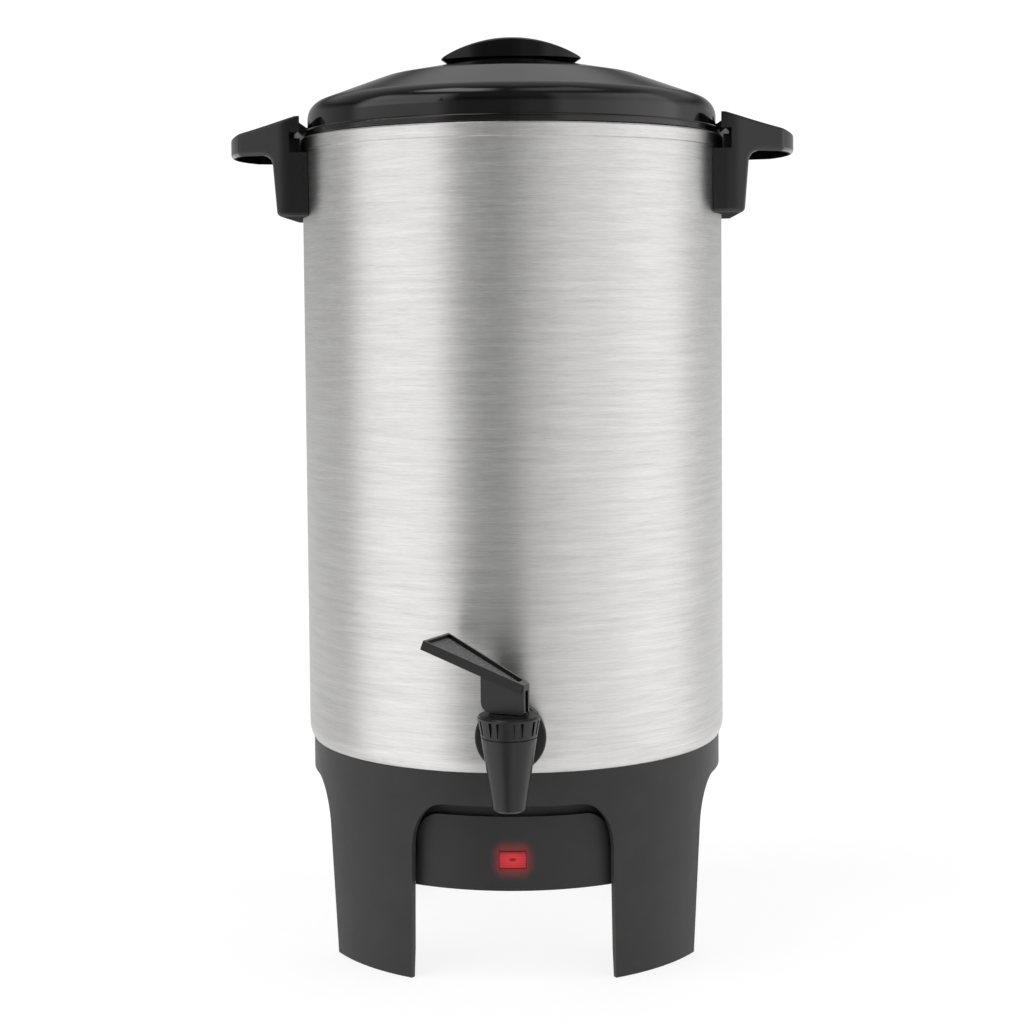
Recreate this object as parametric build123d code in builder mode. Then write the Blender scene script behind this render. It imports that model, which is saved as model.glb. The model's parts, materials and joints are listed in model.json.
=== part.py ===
from build123d import *
import os
from math import cos, hypot, radians, sin, sqrt, tan

# Percolating drink urn: steel tank, lid with knob, two side handles, arched base and a lever tap.
# The frame: origin on the standing surface at the tank's axis, +Z up, the tap at the front (-Y),
# the handles at +X and -X. Millimetres.

os.makedirs("parts", exist_ok=True)

# ---------------------------------------------------------------- driving sizes
gap = 0.3  # between pieces that move past each other
fit = 0.15  # between fixed pieces with curved or nested faces
thread_fit = 0.05  # round a screw or stud in its hole
slot_w = 0.8  # driver slots in the screw heads
slot_deep = 0.9

# tank
tank_r = 100.0
tank_wall = 0.8
tank_floor_z = 91.2
tank_corner_r = 12.0
tank_h = 289.9
rim_h = 6.3
rim_proud = 0.8
rim_round = 0.7
rim_in = 1.6  # how far the curled rim reaches inward of the wall
rim_t = 2.0
well_r = 27.0
well_depth = 8.0

tank_in_r = tank_r - tank_wall
rim_z = tank_floor_z + tank_h
well_z = tank_floor_z - well_depth
corner_r = tank_r - tank_corner_r
corner_z = tank_floor_z + tank_corner_r

# base skirt and its arches
skirt_step = 2.0  # from the tank's wall in to the skirt
foot_taper = 3.1
skirt_wall = 3.0
skirt_straight_h = 9.2
web_t = 2.5
web_w = 21.0
arch_drop = 9.7  # from the tank's floor down to the arch
arch_foot_half = 48.0
arch_spring_half = 45.5
arch_relief_w = 2.4  # how far the leg's inner edge is cut back at the foot
arch_edge_t = 0.8
arch_haunch_h = 22.7
arch_corner_w = 17.4
rear_arch_extra = 9.5

skirt_r = tank_r - skirt_step
foot_r = skirt_r - foot_taper
skirt_in_r = skirt_r - skirt_wall
skirt_straight_z = tank_floor_z - skirt_straight_h
web_r = skirt_in_r - web_w
web_z = tank_floor_z - web_t
arch_h = tank_floor_z - arch_drop
arch_spring_z = arch_h - arch_haunch_h

# housing under the tank, with its panel and cover
housing_room = 10.5  # from the skirt's outside in to the housing
housing_wall = 2.5
housing_z = 42.0
panel_proud = 3.9
panel_h = 33.4
panel_room = 1.4  # from the arch's leg to the panel
panel_lean = 1.0  # how far each side of the panel leans in up to its corner
panel_corner_w = 10.4
panel_corner_h = 12.0
panel_round = 2.0
cover_t = 1.0
cover_recess = 1.0
cover_boss_r = 5.5
cover_boss_h = 14.0
cover_screw_r = 1.5
cover_head_r = 3.0
cover_head_h = 1.8
cover_screws_n = 4

housing_r = skirt_r - housing_room
housing_in_r = housing_r - housing_wall
panel_r = housing_r + panel_proud
panel_half = arch_spring_half - panel_room
panel_top_z = housing_z + panel_h
cover_z = housing_z + cover_recess
boss_z = cover_z + cover_t
boss_spot_r = housing_in_r + cover_t - cover_boss_r

# indicator lamp
lamp_up = 14.0
lamp_w = 12.0
lamp_h = 8.0
lens_depth = 8.0
lens_inset = 0.4
lamp_holder_side = 2.5  # how much wider the holder is than the lens
lamp_holder_wall = 1.2
lamp_holder_depth = 13.0
bulb_r = 2.6
bulb_len = 10.0

lamp_z = housing_z + lamp_up

# heater and controls under the tank floor
heater_r = 24.5
heater_plate_t = 3.0
element_ring_r = 17.0
element_r = 3.5
element_pin_r = 1.8
element_pin_len = 9.0
clamp_t = 1.2
stud_r = 2.5
stud_tail = 3.0
nut_h = 3.6
thermostat_r = 8.5
thermostat_h = 9.0
thermostat_spot = 46.0
blade_h = 6.0
fuse_r = 2.2
fuse_len = 14.0
lead_r = 1.1

# studs that hold the tank to the base
base_stud_r = 2.0
base_stud_len = 9.5
base_stud_inset = 5.0
base_nut_h = 3.2
base_studs = 3

stud_spot_r = web_r + base_stud_inset

# power inlet at the rear
inlet_up = 16.0
inlet_w = 34.0
inlet_h = 21.0
inlet_depth = 22.0
inlet_cavity = 16.0
inlet_wall = 2.2
inlet_flange = 4.0
inlet_flange_t = 2.0
inlet_screw_x = 20.4
inlet_pin_r = 2.4
inlet_pin_pitch = 17.5
inlet_pin_out = 13.0
inlet_tail = 7.0

inlet_z = housing_z + inlet_up
inlet_out = housing_r + inlet_flange_t
inlet_back = inlet_out - inlet_depth
inlet_pins_x = (-inlet_pin_pitch / 2, inlet_pin_pitch / 2)

# side handles
handle_w = 70.0
handle_reach = 34.3  # from the tank's wall to the grip's tip
handle_corner_reach = 27.0
handle_corner_y = 28.0
handle_drop = 37.1  # from the rim down to the leg's end
handle_leg_reach = 8.6
handle_leg_top_reach = 10.9
grip_drop = 8.5
grip_tip_rise = 0.1
grip_rise = 9.4
handle_wall = 2.4
handle_leg_wall = 3.0
handle_throat_r = 5.0
handle_wall_turn = 17.0  # how far the side walls turn in towards the tip, in degrees
handle_corner_round = 3.0
handle_edge_round = 1.8
handle_top_round = 1.2
lid_room = 2.9  # from the rim to the handle's inner face beside the lid
notch_room = 8.2  # from the tank's wall to the deepest part of the notch at the rim
notch_h = 9.6
notch_drop = 1.1
notch_rib_half = 12.0  # half width of the rib left standing in the middle of the notch
notch_rib_up = 1.0  # how far the rib stands up past the rim
bracket_t = 1.2
bracket_half = 24.0
bracket_h = 20.0
bracket_boss_r = 3.6
handle_screw_r = 2.0
handle_head_r = 3.7
handle_head_h = 2.0
handle_screw_y = 16.0

handle_tip_x = tank_r + handle_reach
handle_corner_x = tank_r + handle_corner_reach
handle_leg_x = tank_r + handle_leg_reach
handle_leg_top_x = tank_r + handle_leg_top_reach
handle_bottom_z = rim_z - handle_drop
handle_grip_z = rim_z - grip_drop
handle_end_top_z = rim_z + grip_tip_rise
handle_top_z = rim_z + grip_rise

# lid
lid_flange_over = 0.6  # how far the tank's wall stands out past the lid's flange
lid_flange_t = 3.6
lid_flange_round = 1.3
lid_side_step = 2.0
lid_corner_h = 15.4
lid_corner_round = 9.3
lid_slope_w = 36.3
lid_break_h = 28.8
lid_break_round = 20.0
lid_plateau_r = 29.6
lid_plateau_h = 35.0
lid_wall = 3.0
lid_plug_depth = 9.0
lid_plug_t = 2.6
ear_w = 10.0
ear_out = 3.6
ear_low = 5.0
ear_root_h = 5.8
ear_high = 9.8

lid_z = rim_z + gap
lid_r = tank_r - lid_flange_over
lid_side_r = lid_r - lid_side_step
lid_break_r = lid_side_r - lid_slope_w
lid_slope = (lid_break_h - lid_corner_h) / lid_slope_w
plug_r = tank_in_r - rim_in - 2 * gap
lid_top_z = lid_z + lid_plateau_h

# knob
knob_half = 33.5
knob_depth = 30.0
knob_base_half = 29.0
knob_base_depth = 23.0
knob_flare_h = 3.0
knob_h = 13.2
knob_side_drop = 2.4
knob_round = 0.6
knob_screw_r = 2.0
knob_screw_in = 7.0
knob_head_r = 4.0
knob_head_h = 2.4

# tap
tap_reach = 30.0  # tank wall to the tap's upright axis
tap_up = 23.1  # from the tank's floor up to the shank
nozzle_drop = 26.3
nozzle_r = 7.1
nozzle_bore_r = 4.6
throat_r = 5.2
throat_h = 3.0
seat_drop = 10.3
chamber_r = 7.6
collar_up = 5.2
collar_r = 11.95
neck_r = 9.6
neck_h = 6.5
bonnet_cap_t = 3.0
bonnet_top_r = 13.5
bonnet_hole_r = 8.5
bonnet_ribs = 8
shank_r = 7.6
shank_bore_r = 4.2
shank_bore_drop = 1.5
arm_half_w = 7.0
arm_half_h = 7.9
arm_drop = 2.95
flange_r = 15.6
flange_t = 3.0
gasket_t = 4.4
tap_nut_af = 24.0
tap_nut_h = 5.0
thread_tail = 2.0
inner_gasket_r = 12.5
inner_gasket_t = 3.4
lip = 0.8  # small edge rounds and chamfers on the tap

tap_y = -(tank_r + tap_reach)
tap_z = tank_floor_z + tap_up
nozzle_z = tap_z - nozzle_drop
seat_z = tap_z - seat_drop
collar_z = tap_z + collar_up
neck_top_z = collar_z + neck_h
bonnet_top_z = neck_top_z + bonnet_cap_t

# tap lever, valve stem and seat
lever_azimuth = 115.0  # from the front towards -X
lever_tilt = 22.0
lever_back = 8.5
lever_len = 46.5
lever_tip_w = 23.0
lever_heel_w = 6.0
lever_heel_rim = 3.0
lever_tray_t = 4.2
lever_recess = 1.7
heel_slot_rim = 1.0  # left standing above and below the slot in the lever's heel
lever_rim = 1.1
lever_rise = 13.6
web_thick = 5.2
web_front = 12.0
cam_r = 4.5
lever_pin_r = 1.2
lever_pin_up = 6.0
stem_r = 3.0
tongue_t = 2.0
tongue_half = 2.2
cup_r = 6.6
cup_t = 3.3
cup_floor = 1.0
cup_plug = 2.0
cup_sleeve_r = 4.6
cup_sleeve_h = 9.0

web_bottom_z = bonnet_top_z + 2 * gap
lever_pin_z = web_bottom_z + lever_pin_up
lever_top_z = bonnet_top_z + lever_rise

# pump and basket
tube_r = 4.75
tube_wall = 0.7
tube_drop = 5.1  # from the rim down to the tube's mouth
foot_cup_r = 24.0
foot_cup_wall = 0.8
foot_cup_h = 16.0
foot_skirt_h = 3.0
foot_neck_h = 8.0
basket_drop = 89.1  # from the rim down to the basket's floor
basket_r = 68.0
basket_h = 72.0
basket_wall = 0.8
basket_sleeve_h = 20.0
seat_ring_r = 9.5
seat_ring_h = 3.0
spreader_t = 0.8
spreader_skirt = 6.0
hole_r = 1.3
hole_rings = 4

tube_top_z = rim_z - tube_drop
basket_z = rim_z - basket_drop


def facing(azimuth, distance=0.0):
    """Upright plane whose normal points outward, at an azimuth from the front (-Y) towards +X."""
    turn = radians(azimuth)
    outward = Vector(sin(turn), -cos(turn), 0)
    return Plane(origin=outward * distance, x_dir=(cos(turn), sin(turn), 0), z_dir=outward)


def polar(radius, azimuth, z=0.0):
    """Point at a radius and an azimuth from the front (-Y) towards +X."""
    turn = radians(azimuth)
    return (radius * sin(turn), -radius * cos(turn), z)


def save(part, name):
    """Label a finished piece and write its STEP file."""
    part.label = name
    export_step(part, f"parts/{name}.step")


def cross_slot(size):
    """Crossed driver slot for a screw of a given head radius."""
    with BuildSketch() as slots:
        Rectangle(1.1 * size, slot_w)
        Rectangle(slot_w, 1.1 * size)
    return slots.sketch


def arch_outline(stretch, extra, foot_extra=0.0):
    """Arch face: straight legs, elliptical haunches and a flat top; widths grow with the radius."""
    half_foot = (arch_foot_half + extra + foot_extra) * stretch
    half_spring = (arch_spring_half + extra) * stretch
    corner = arch_corner_w * stretch
    haunch_h = arch_h - arch_spring_z
    with BuildSketch() as outline:
        with BuildLine():
            Polyline((0, -1), (half_foot, -1), (half_foot, 0), (half_spring, arch_spring_z))
            EllipticalCenterArc((half_spring - corner, arch_spring_z), corner, haunch_h, 0, arc_size=90)
            Line((half_spring - corner, arch_h), (0, arch_h))
            mirror(about=Plane.YZ)
        make_face()
    return outline.sketch


# ---------------------------------------------------------------- tank
with BuildPart() as tank_body:
    with BuildSketch(Plane.XZ):
        with BuildLine():
            Polyline((0, well_z), (well_r, well_z), (well_r, tank_floor_z), (corner_r, tank_floor_z))
            CenterArc((corner_r, corner_z), tank_corner_r, 270, 90)
            Polyline(
                (tank_r, corner_z),
                (tank_r, rim_z - rim_h),
                (tank_r + rim_proud, rim_z - rim_h + rim_proud / 2),
                (tank_r + rim_proud, rim_z - rim_round),
                (tank_r + rim_proud - rim_round, rim_z),
                (tank_in_r - rim_in, rim_z),
                (tank_in_r - rim_in, rim_z - rim_t),
                (tank_in_r, rim_z - rim_t - rim_in),
                (tank_in_r, corner_z),
            )
            CenterArc((corner_r, corner_z), tank_corner_r - tank_wall, 270, 90)
            Polyline(
                (corner_r, tank_floor_z + tank_wall),
                (well_r - tank_wall, tank_floor_z + tank_wall),
                (well_r - tank_wall, well_z + tank_wall),
                (0, well_z + tank_wall),
                (0, well_z),
            )
        make_face()
    revolve(axis=Axis.Z)
    with BuildSketch(facing(0, tank_r + 1)):
        with Locations((0, tap_z)):
            Circle(shank_r + fit)
    extrude(amount=-tank_r / 2, mode=Mode.SUBTRACT)
save(tank_body.part, "tank_body")

# ---------------------------------------------------------------- base skirt with four arches
seat_arc_r = tank_corner_r + fit
seat_out_z = corner_z - sqrt(seat_arc_r**2 - (skirt_r - corner_r) ** 2)
seat_in_z = corner_z - sqrt(seat_arc_r**2 - (skirt_in_r - corner_r) ** 2)
seat_mid_r = (skirt_r + skirt_in_r) / 2
seat_mid_z = corner_z - sqrt(seat_arc_r**2 - (seat_mid_r - corner_r) ** 2)
arch_ref_r = sqrt(skirt_r**2 - arch_spring_half**2)
stud_azimuths = [360 / base_studs * i for i in range(base_studs)]
boss_azimuths = [360 / cover_screws_n * (i + 0.5) for i in range(cover_screws_n)]

with BuildPart() as base_shell:
    with BuildSketch(Plane.XZ):
        with BuildLine():
            Polyline((foot_r - skirt_wall, 0), (foot_r, 0), (skirt_r, skirt_straight_z), (skirt_r, seat_out_z))
            ThreePointArc((skirt_r, seat_out_z), (seat_mid_r, seat_mid_z), (skirt_in_r, seat_in_z))
            Polyline(
                (skirt_in_r, seat_in_z),
                (skirt_in_r, tank_floor_z),
                (web_r, tank_floor_z),
                (web_r, web_z),
                (skirt_in_r, web_z),
                (skirt_in_r, skirt_straight_z),
                (foot_r - skirt_wall, 0),
            )
        make_face()
    revolve(axis=Axis.Z)
    for azimuth, extra in ((0, 0), (90, 0), (180, rear_arch_extra), (270, 0)):
        for distance in (skirt_r * 0.7, skirt_r * 1.1):
            with BuildSketch(facing(azimuth, distance)):
                add(arch_outline(distance / arch_ref_r, extra))
        loft(ruled=True, mode=Mode.SUBTRACT)
        edge_out = sqrt(foot_r**2 - (arch_foot_half + extra) ** 2) - arch_edge_t
        for distance in (skirt_r * 0.7, edge_out):
            with BuildSketch(facing(azimuth, distance)):
                add(arch_outline(distance / arch_ref_r, extra, arch_relief_w))
        loft(ruled=True, mode=Mode.SUBTRACT)
    with Locations([polar(stud_spot_r, a, tank_floor_z) for a in stud_azimuths]):
        Hole(base_stud_r + gap, depth=web_t)
save(base_shell.part, "base_shell")

# ---------------------------------------------------------------- round housing below the tank
with BuildPart() as inner_housing:
    with BuildSketch(Plane.XY.offset(housing_z)):
        Circle(housing_r)
        Circle(housing_in_r, mode=Mode.SUBTRACT)
    extrude(amount=web_z - housing_z)
    with BuildSketch(Plane.XY.offset(boss_z)):
        with Locations([polar(boss_spot_r, a) for a in boss_azimuths]):
            Circle(cover_boss_r)
    extrude(amount=cover_boss_h)
    with BuildSketch(Plane.XY.offset(boss_z)):
        with Locations([polar(boss_spot_r, a) for a in boss_azimuths]):
            Circle(cover_screw_r)
    extrude(amount=cover_boss_h - 2 * cover_t, mode=Mode.SUBTRACT)
    with BuildSketch(facing(0, housing_r + 1)):
        with Locations((0, lamp_z)):
            Rectangle(lamp_w + 2 * fit, lamp_h + 2 * fit)
    extrude(amount=-2 * housing_wall - 2, mode=Mode.SUBTRACT)
    with BuildSketch(facing(180, housing_r + 1)):
        with Locations((0, inlet_z)):
            Rectangle(inlet_w + 2 * fit, inlet_h + 2 * fit)
        with Locations(*[(s * inlet_screw_x, inlet_z) for s in (-1, 1)]):
            Circle(cover_screw_r)
    extrude(amount=-4 * housing_wall, mode=Mode.SUBTRACT)
save(inner_housing.part, "inner_housing")

# ---------------------------------------------------------------- front panel on the housing
panel_high_half = panel_half - panel_lean
panel_corner_z = panel_top_z - panel_corner_h
corner_x = panel_high_half - panel_corner_w

with BuildPart() as control_panel:
    with BuildSketch(Plane.XY.offset(housing_z)):
        Circle(panel_r)
        Circle(housing_r + fit, mode=Mode.SUBTRACT)
    extrude(amount=panel_h)
    with BuildSketch(facing(0, panel_r / 2)):
        with BuildLine():
            Polyline((0, housing_z), (panel_half, housing_z), (panel_high_half, panel_corner_z))
            EllipticalCenterArc((corner_x, panel_corner_z), panel_corner_w, panel_corner_h, 0, arc_size=90)
            Line((corner_x, panel_top_z), (0, panel_top_z))
            mirror(about=Plane.YZ)
        make_face()
    extrude(amount=panel_r, mode=Mode.INTERSECT)
    front = control_panel.faces().filter_by(GeomType.CYLINDER).sort_by(SortBy.AREA)[-1]
    fillet(front.edges(), panel_round)
    with BuildSketch(facing(0, panel_r + 1)):
        with Locations((0, lamp_z)):
            Rectangle(lamp_w + 2 * fit, lamp_h + 2 * fit)
    extrude(amount=-panel_r / 4, mode=Mode.SUBTRACT)
save(control_panel.part, "control_panel")

# ---------------------------------------------------------------- indicator lamp
lens_front = panel_r - lens_inset
holder_w = lamp_w + 2 * lamp_holder_side
holder_h = lamp_h + 2 * lamp_holder_side
holder_front = sqrt(housing_in_r**2 - (holder_w / 2) ** 2) - fit
holder_back = holder_front - lamp_holder_depth
bulb_at = lens_front - lens_depth - bulb_r - gap

with BuildPart() as indicator_lens:
    with BuildSketch(facing(0, lens_front - lens_depth)):
        with Locations((0, lamp_z)):
            Rectangle(lamp_w, lamp_h)
    extrude(amount=lens_depth)
    fillet(indicator_lens.edges().group_by(Axis.Y)[0], 0.5)
save(indicator_lens.part, "indicator_lens")

with BuildPart() as indicator_holder:
    with BuildSketch(facing(0, holder_back)):
        with Locations((0, lamp_z)):
            Rectangle(holder_w, holder_h)
    extrude(amount=lamp_holder_depth)
    with BuildSketch(facing(0, holder_back + lamp_holder_wall)):
        with Locations((0, lamp_z)):
            Rectangle(holder_w - 2 * lamp_holder_wall, holder_h - 2 * lamp_holder_wall)
    extrude(amount=lamp_holder_depth, mode=Mode.SUBTRACT)
    with BuildSketch(facing(0, holder_back)):
        with Locations(*[(s * bulb_len / 3, lamp_z) for s in (-1, 1)]):
            Circle(lead_r + gap)
    extrude(amount=lamp_holder_wall, mode=Mode.SUBTRACT)
save(indicator_holder.part, "indicator_holder")

with BuildPart() as indicator_bulb:
    with BuildSketch(Plane.YZ.offset(-bulb_len / 2)):
        with Locations((-bulb_at, lamp_z)):
            Circle(bulb_r)
    extrude(amount=bulb_len)
    fillet(indicator_bulb.edges().filter_by(GeomType.CIRCLE), bulb_r / 3)
save(indicator_bulb.part, "indicator_bulb")

# ---------------------------------------------------------------- bottom cover and its screws
with BuildPart() as bottom_cover:
    with BuildSketch(Plane.XY.offset(cover_z)):
        Circle(housing_in_r - fit)
        with Locations([polar(boss_spot_r, a) for a in boss_azimuths]):
            Circle(cover_screw_r + fit, mode=Mode.SUBTRACT)
    extrude(amount=cover_t)
save(bottom_cover.part, "bottom_cover")

with BuildPart() as cover_screws:
    for spot in [polar(boss_spot_r, a, cover_z) for a in boss_azimuths]:
        with BuildSketch(Plane(origin=spot)):
            Circle(cover_screw_r - thread_fit)
        extrude(amount=cover_boss_h - 3 * cover_t)
        with BuildSketch(Plane(origin=spot)):
            Circle(cover_head_r)
        extrude(amount=-cover_head_h)
        with BuildSketch(Plane(origin=spot).offset(-cover_head_h)):
            add(cross_slot(cover_head_r))
        extrude(amount=slot_deep, mode=Mode.SUBTRACT)
save(cover_screws.part, "bottom_cover_screws")

# ---------------------------------------------------------------- studs and nuts from tank to base
with BuildPart() as tank_studs:
    with BuildSketch(Plane.XY.offset(tank_floor_z)):
        with Locations([polar(stud_spot_r, a) for a in stud_azimuths]):
            Circle(base_stud_r)
    extrude(amount=-base_stud_len)
save(tank_studs.part, "tank_studs")

with BuildPart() as tank_stud_nuts:
    with BuildSketch(Plane.XY.offset(web_z)):
        with Locations([polar(stud_spot_r, a) for a in stud_azimuths]):
            RegularPolygon(2 * base_stud_r, 6)
            Circle(base_stud_r + thread_fit, mode=Mode.SUBTRACT)
    extrude(amount=-base_nut_h)
save(tank_stud_nuts.part, "tank_stud_nuts")

# ---------------------------------------------------------------- heater under the well
plate_z = well_z - heater_plate_t
ring_z = plate_z - element_r
clamp_top_z = plate_z - 2 * element_r
pin_xy = element_ring_r / sqrt(2)
pin_end_z = clamp_top_z - element_pin_len
terminal_xy = ((-pin_xy, pin_xy), (pin_xy, pin_xy))

with BuildPart() as heater_plate:
    with BuildSketch(Plane.XY.offset(plate_z)):
        Circle(heater_r)
        Circle(stud_r + gap, mode=Mode.SUBTRACT)
    extrude(amount=heater_plate_t)
save(heater_plate.part, "heater_plate")

with BuildPart() as heater_element:
    with BuildSketch(Plane.XZ):
        with Locations((element_ring_r, ring_z)):
            Circle(element_r)
    revolve(axis=Axis.Z)
    with BuildSketch(Plane.XY.offset(pin_end_z)):
        with Locations(*terminal_xy):
            Circle(element_pin_r)
    extrude(amount=ring_z - pin_end_z)
    with BuildSketch(Plane.XY.offset(pin_end_z)):
        with Locations(*terminal_xy):
            Rectangle(6, 10)
    extrude(amount=-1)
save(heater_element.part, "heater_element")

with BuildPart() as heater_clamp:
    with BuildSketch(Plane.XY.offset(clamp_top_z)):
        Circle(heater_r)
        Circle(stud_r + fit, mode=Mode.SUBTRACT)
        with Locations(*terminal_xy):
            Circle(element_pin_r + gap, mode=Mode.SUBTRACT)
    extrude(amount=-clamp_t)
save(heater_clamp.part, "heater_clamp")

clamp_z = clamp_top_z - clamp_t
with BuildPart() as heater_stud:
    with BuildSketch(Plane.XY.offset(well_z)):
        Circle(stud_r)
    extrude(amount=clamp_z - nut_h - stud_tail - well_z)
save(heater_stud.part, "heater_stud")

with BuildPart() as heater_nut:
    with BuildSketch(Plane.XY.offset(clamp_z)):
        RegularPolygon(2 * stud_r, 6)
        Circle(stud_r + thread_fit, mode=Mode.SUBTRACT)
    extrude(amount=-nut_h)
save(heater_nut.part, "heater_nut")

# ---------------------------------------------------------------- thermostat and fuse on the tank floor
blade_z = tank_floor_z - thermostat_h - blade_h
blade_x = (thermostat_spot - thermostat_r / 2, thermostat_spot + thermostat_r / 2)

with BuildPart() as thermostat:
    with BuildSketch(Plane.XY.offset(tank_floor_z)):
        with Locations((thermostat_spot, 0)):
            Circle(thermostat_r)
    extrude(amount=-thermostat_h)
    fillet(thermostat.edges().filter_by(GeomType.CIRCLE).group_by(Axis.Z)[0], 1)
    with BuildSketch(Plane.XY.offset(blade_z)):
        with Locations(*[(x, 0) for x in blade_x]):
            Rectangle(1, 6)
    extrude(amount=blade_h + 1)
save(thermostat.part, "thermostat")

fuse_z = tank_floor_z - fuse_r
with BuildPart() as thermal_fuse:
    with BuildSketch(Plane.XZ.offset(-fuse_len / 2)):
        with Locations((-thermostat_spot, fuse_z)):
            Circle(fuse_r)
    extrude(amount=fuse_len)
save(thermal_fuse.part, "thermal_fuse")

# ---------------------------------------------------------------- power inlet at the rear
with BuildPart() as inlet_socket:
    with BuildSketch(facing(180, inlet_out)):
        with Locations((0, inlet_z)):
            RectangleRounded(2 * inlet_screw_x + 2 * inlet_flange, inlet_h + inlet_flange, 4)
    extrude(amount=-inlet_depth)
    with BuildSketch(Plane.XY.offset(inlet_z - inlet_h)):
        Circle(housing_r + fit)
    extrude(amount=2 * inlet_h, mode=Mode.SUBTRACT)
    with BuildSketch(facing(180, inlet_out)):
        with Locations((0, inlet_z)):
            RectangleRounded(inlet_w, inlet_h, 3)
    extrude(amount=-inlet_depth)
    with BuildSketch(facing(180, inlet_out)):
        with Locations((0, inlet_z)):
            RectangleRounded(inlet_w - 2 * inlet_wall, inlet_h - 2 * inlet_wall, 2)
    extrude(amount=-inlet_cavity, mode=Mode.SUBTRACT)
    with BuildSketch(facing(180, inlet_out)):
        with Locations(*[(x, inlet_z) for x in inlet_pins_x]):
            Circle(inlet_pin_r)
        with Locations(*[(s * inlet_screw_x, inlet_z) for s in (-1, 1)]):
            Circle(cover_screw_r + fit)
    extrude(amount=-inlet_depth, mode=Mode.SUBTRACT)
save(inlet_socket.part, "inlet_socket")

with BuildPart() as inlet_pins:
    with BuildSketch(facing(180, inlet_back - inlet_tail)):
        with Locations(*[(x, inlet_z) for x in inlet_pins_x]):
            Circle(inlet_pin_r)
    extrude(amount=inlet_tail + inlet_depth - inlet_cavity + inlet_pin_out)
    fillet(inlet_pins.edges().filter_by(GeomType.CIRCLE).group_by(Axis.Y)[-1], inlet_pin_r / 2)
save(inlet_pins.part, "inlet_pins")

with BuildPart() as inlet_screws:
    for screw_x in (-inlet_screw_x, inlet_screw_x):
        with BuildSketch(facing(180, inlet_out)):
            with Locations((screw_x, inlet_z)):
                Circle(cover_screw_r - thread_fit)
        extrude(amount=-4 * inlet_flange_t)
        with BuildSketch(facing(180, inlet_out)):
            with Locations((screw_x, inlet_z)):
                Circle(cover_head_r)
        extrude(amount=cover_head_h)
        with BuildSketch(facing(180, inlet_out + cover_head_h)):
            with Locations((screw_x, inlet_z)):
                add(cross_slot(cover_head_r))
        extrude(amount=-slot_deep, mode=Mode.SUBTRACT)
save(inlet_screws.part, "inlet_screws")

# ---------------------------------------------------------------- leads inside the housing
pin_tail_y = inlet_back - inlet_tail
lead_bend_r = 5.0
low_z = inlet_z + 1.0

lead_routes = (
    # live pin to the thermostat's outer blade
    (
        (inlet_pins_x[1], pin_tail_y, inlet_z),
        (inlet_pins_x[1], pin_tail_y - 14, inlet_z),
        (blade_x[1], 26, low_z),
        (blade_x[1], 0, low_z),
        (blade_x[1], 0, blade_z),
    ),
    # thermostat's inner blade to the heater
    (
        (blade_x[0], 0, blade_z),
        (blade_x[0], 0, low_z),
        (pin_xy, pin_xy + 3, low_z - 8),
        (pin_xy, pin_xy + 3, pin_end_z - 1),
    ),
    # neutral pin to the fuse
    (
        (inlet_pins_x[0], pin_tail_y, inlet_z),
        (inlet_pins_x[0], pin_tail_y - 14, inlet_z),
        (-thermostat_spot, pin_tail_y - 16, fuse_z - 10),
        (-thermostat_spot, pin_tail_y - 36, fuse_z),
        (-thermostat_spot, fuse_len / 2, fuse_z),
    ),
    # fuse to the heater
    (
        (-thermostat_spot, -fuse_len / 2, fuse_z),
        (-thermostat_spot, -fuse_len / 2 - 14, fuse_z),
        (-thermostat_spot + 12, -fuse_len / 2 - 18, low_z),
        (-pin_xy, pin_xy + 3, low_z - 6),
        (-pin_xy, pin_xy + 3, pin_end_z - 1),
    ),
)

with BuildPart() as heater_leads:
    for route in lead_routes:
        with BuildLine() as route_line:
            FilletPolyline(*route, radius=lead_bend_r)
        with BuildSketch(Plane(origin=route_line.line @ 0, z_dir=route_line.line % 0)):
            Circle(lead_r)
        sweep(path=route_line.line)
save(heater_leads.part, "heater_leads")

with BuildPart() as lamp_leads:
    for side in (-1, 1):
        start = (side * bulb_len / 3, -bulb_at + bulb_r, lamp_z)
        with BuildLine() as route_line:
            FilletPolyline(
                start,
                (side * bulb_len / 3, -holder_back + 14, lamp_z),
                (side * pin_xy, -pin_xy, lamp_z),
                (side * pin_xy, pin_xy - 3, low_z - 8),
                (side * pin_xy, pin_xy - 3, pin_end_z - 1),
                radius=lead_bend_r / 2,
            )
        with BuildSketch(Plane(origin=route_line.line @ 0, z_dir=route_line.line % 0)):
            Circle(lead_r)
        sweep(path=route_line.line)
save(lamp_leads.part, "lamp_leads")

# ---------------------------------------------------------------- side handles
notch_z = rim_z - rim_h - notch_drop
face_r = tank_r + rim_proud + lid_room
inside_x = tank_r / 2
leg_hollow_x = handle_leg_x - handle_leg_wall
leg_hollow_half = handle_w / 2 - handle_leg_wall - 1
leg_hollow_z = handle_bottom_z + handle_leg_wall
leg_hollow_top = notch_z - handle_wall
handle_rest = handle_corner_x - tank_r
handle_narrow = handle_w / 2 - handle_corner_y
half_turn = tan(radians(handle_wall_turn) / 2)
full_turn = tan(radians(handle_wall_turn))
handle_turned_x = tank_r + (handle_rest * full_turn - handle_narrow) / (full_turn - half_turn)
handle_turned_y = handle_w / 2 - (handle_turned_x - tank_r) * half_turn
roof_slope = (handle_top_z - handle_end_top_z) / (handle_tip_x - tank_r)
roof_at_leg = handle_top_z - handle_wall - roof_slope * (handle_leg_top_x - tank_r)
handle_screw_z = (leg_hollow_z + leg_hollow_top) / 2
screw_seat_x = leg_hollow_x + handle_leg_wall / 2


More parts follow.
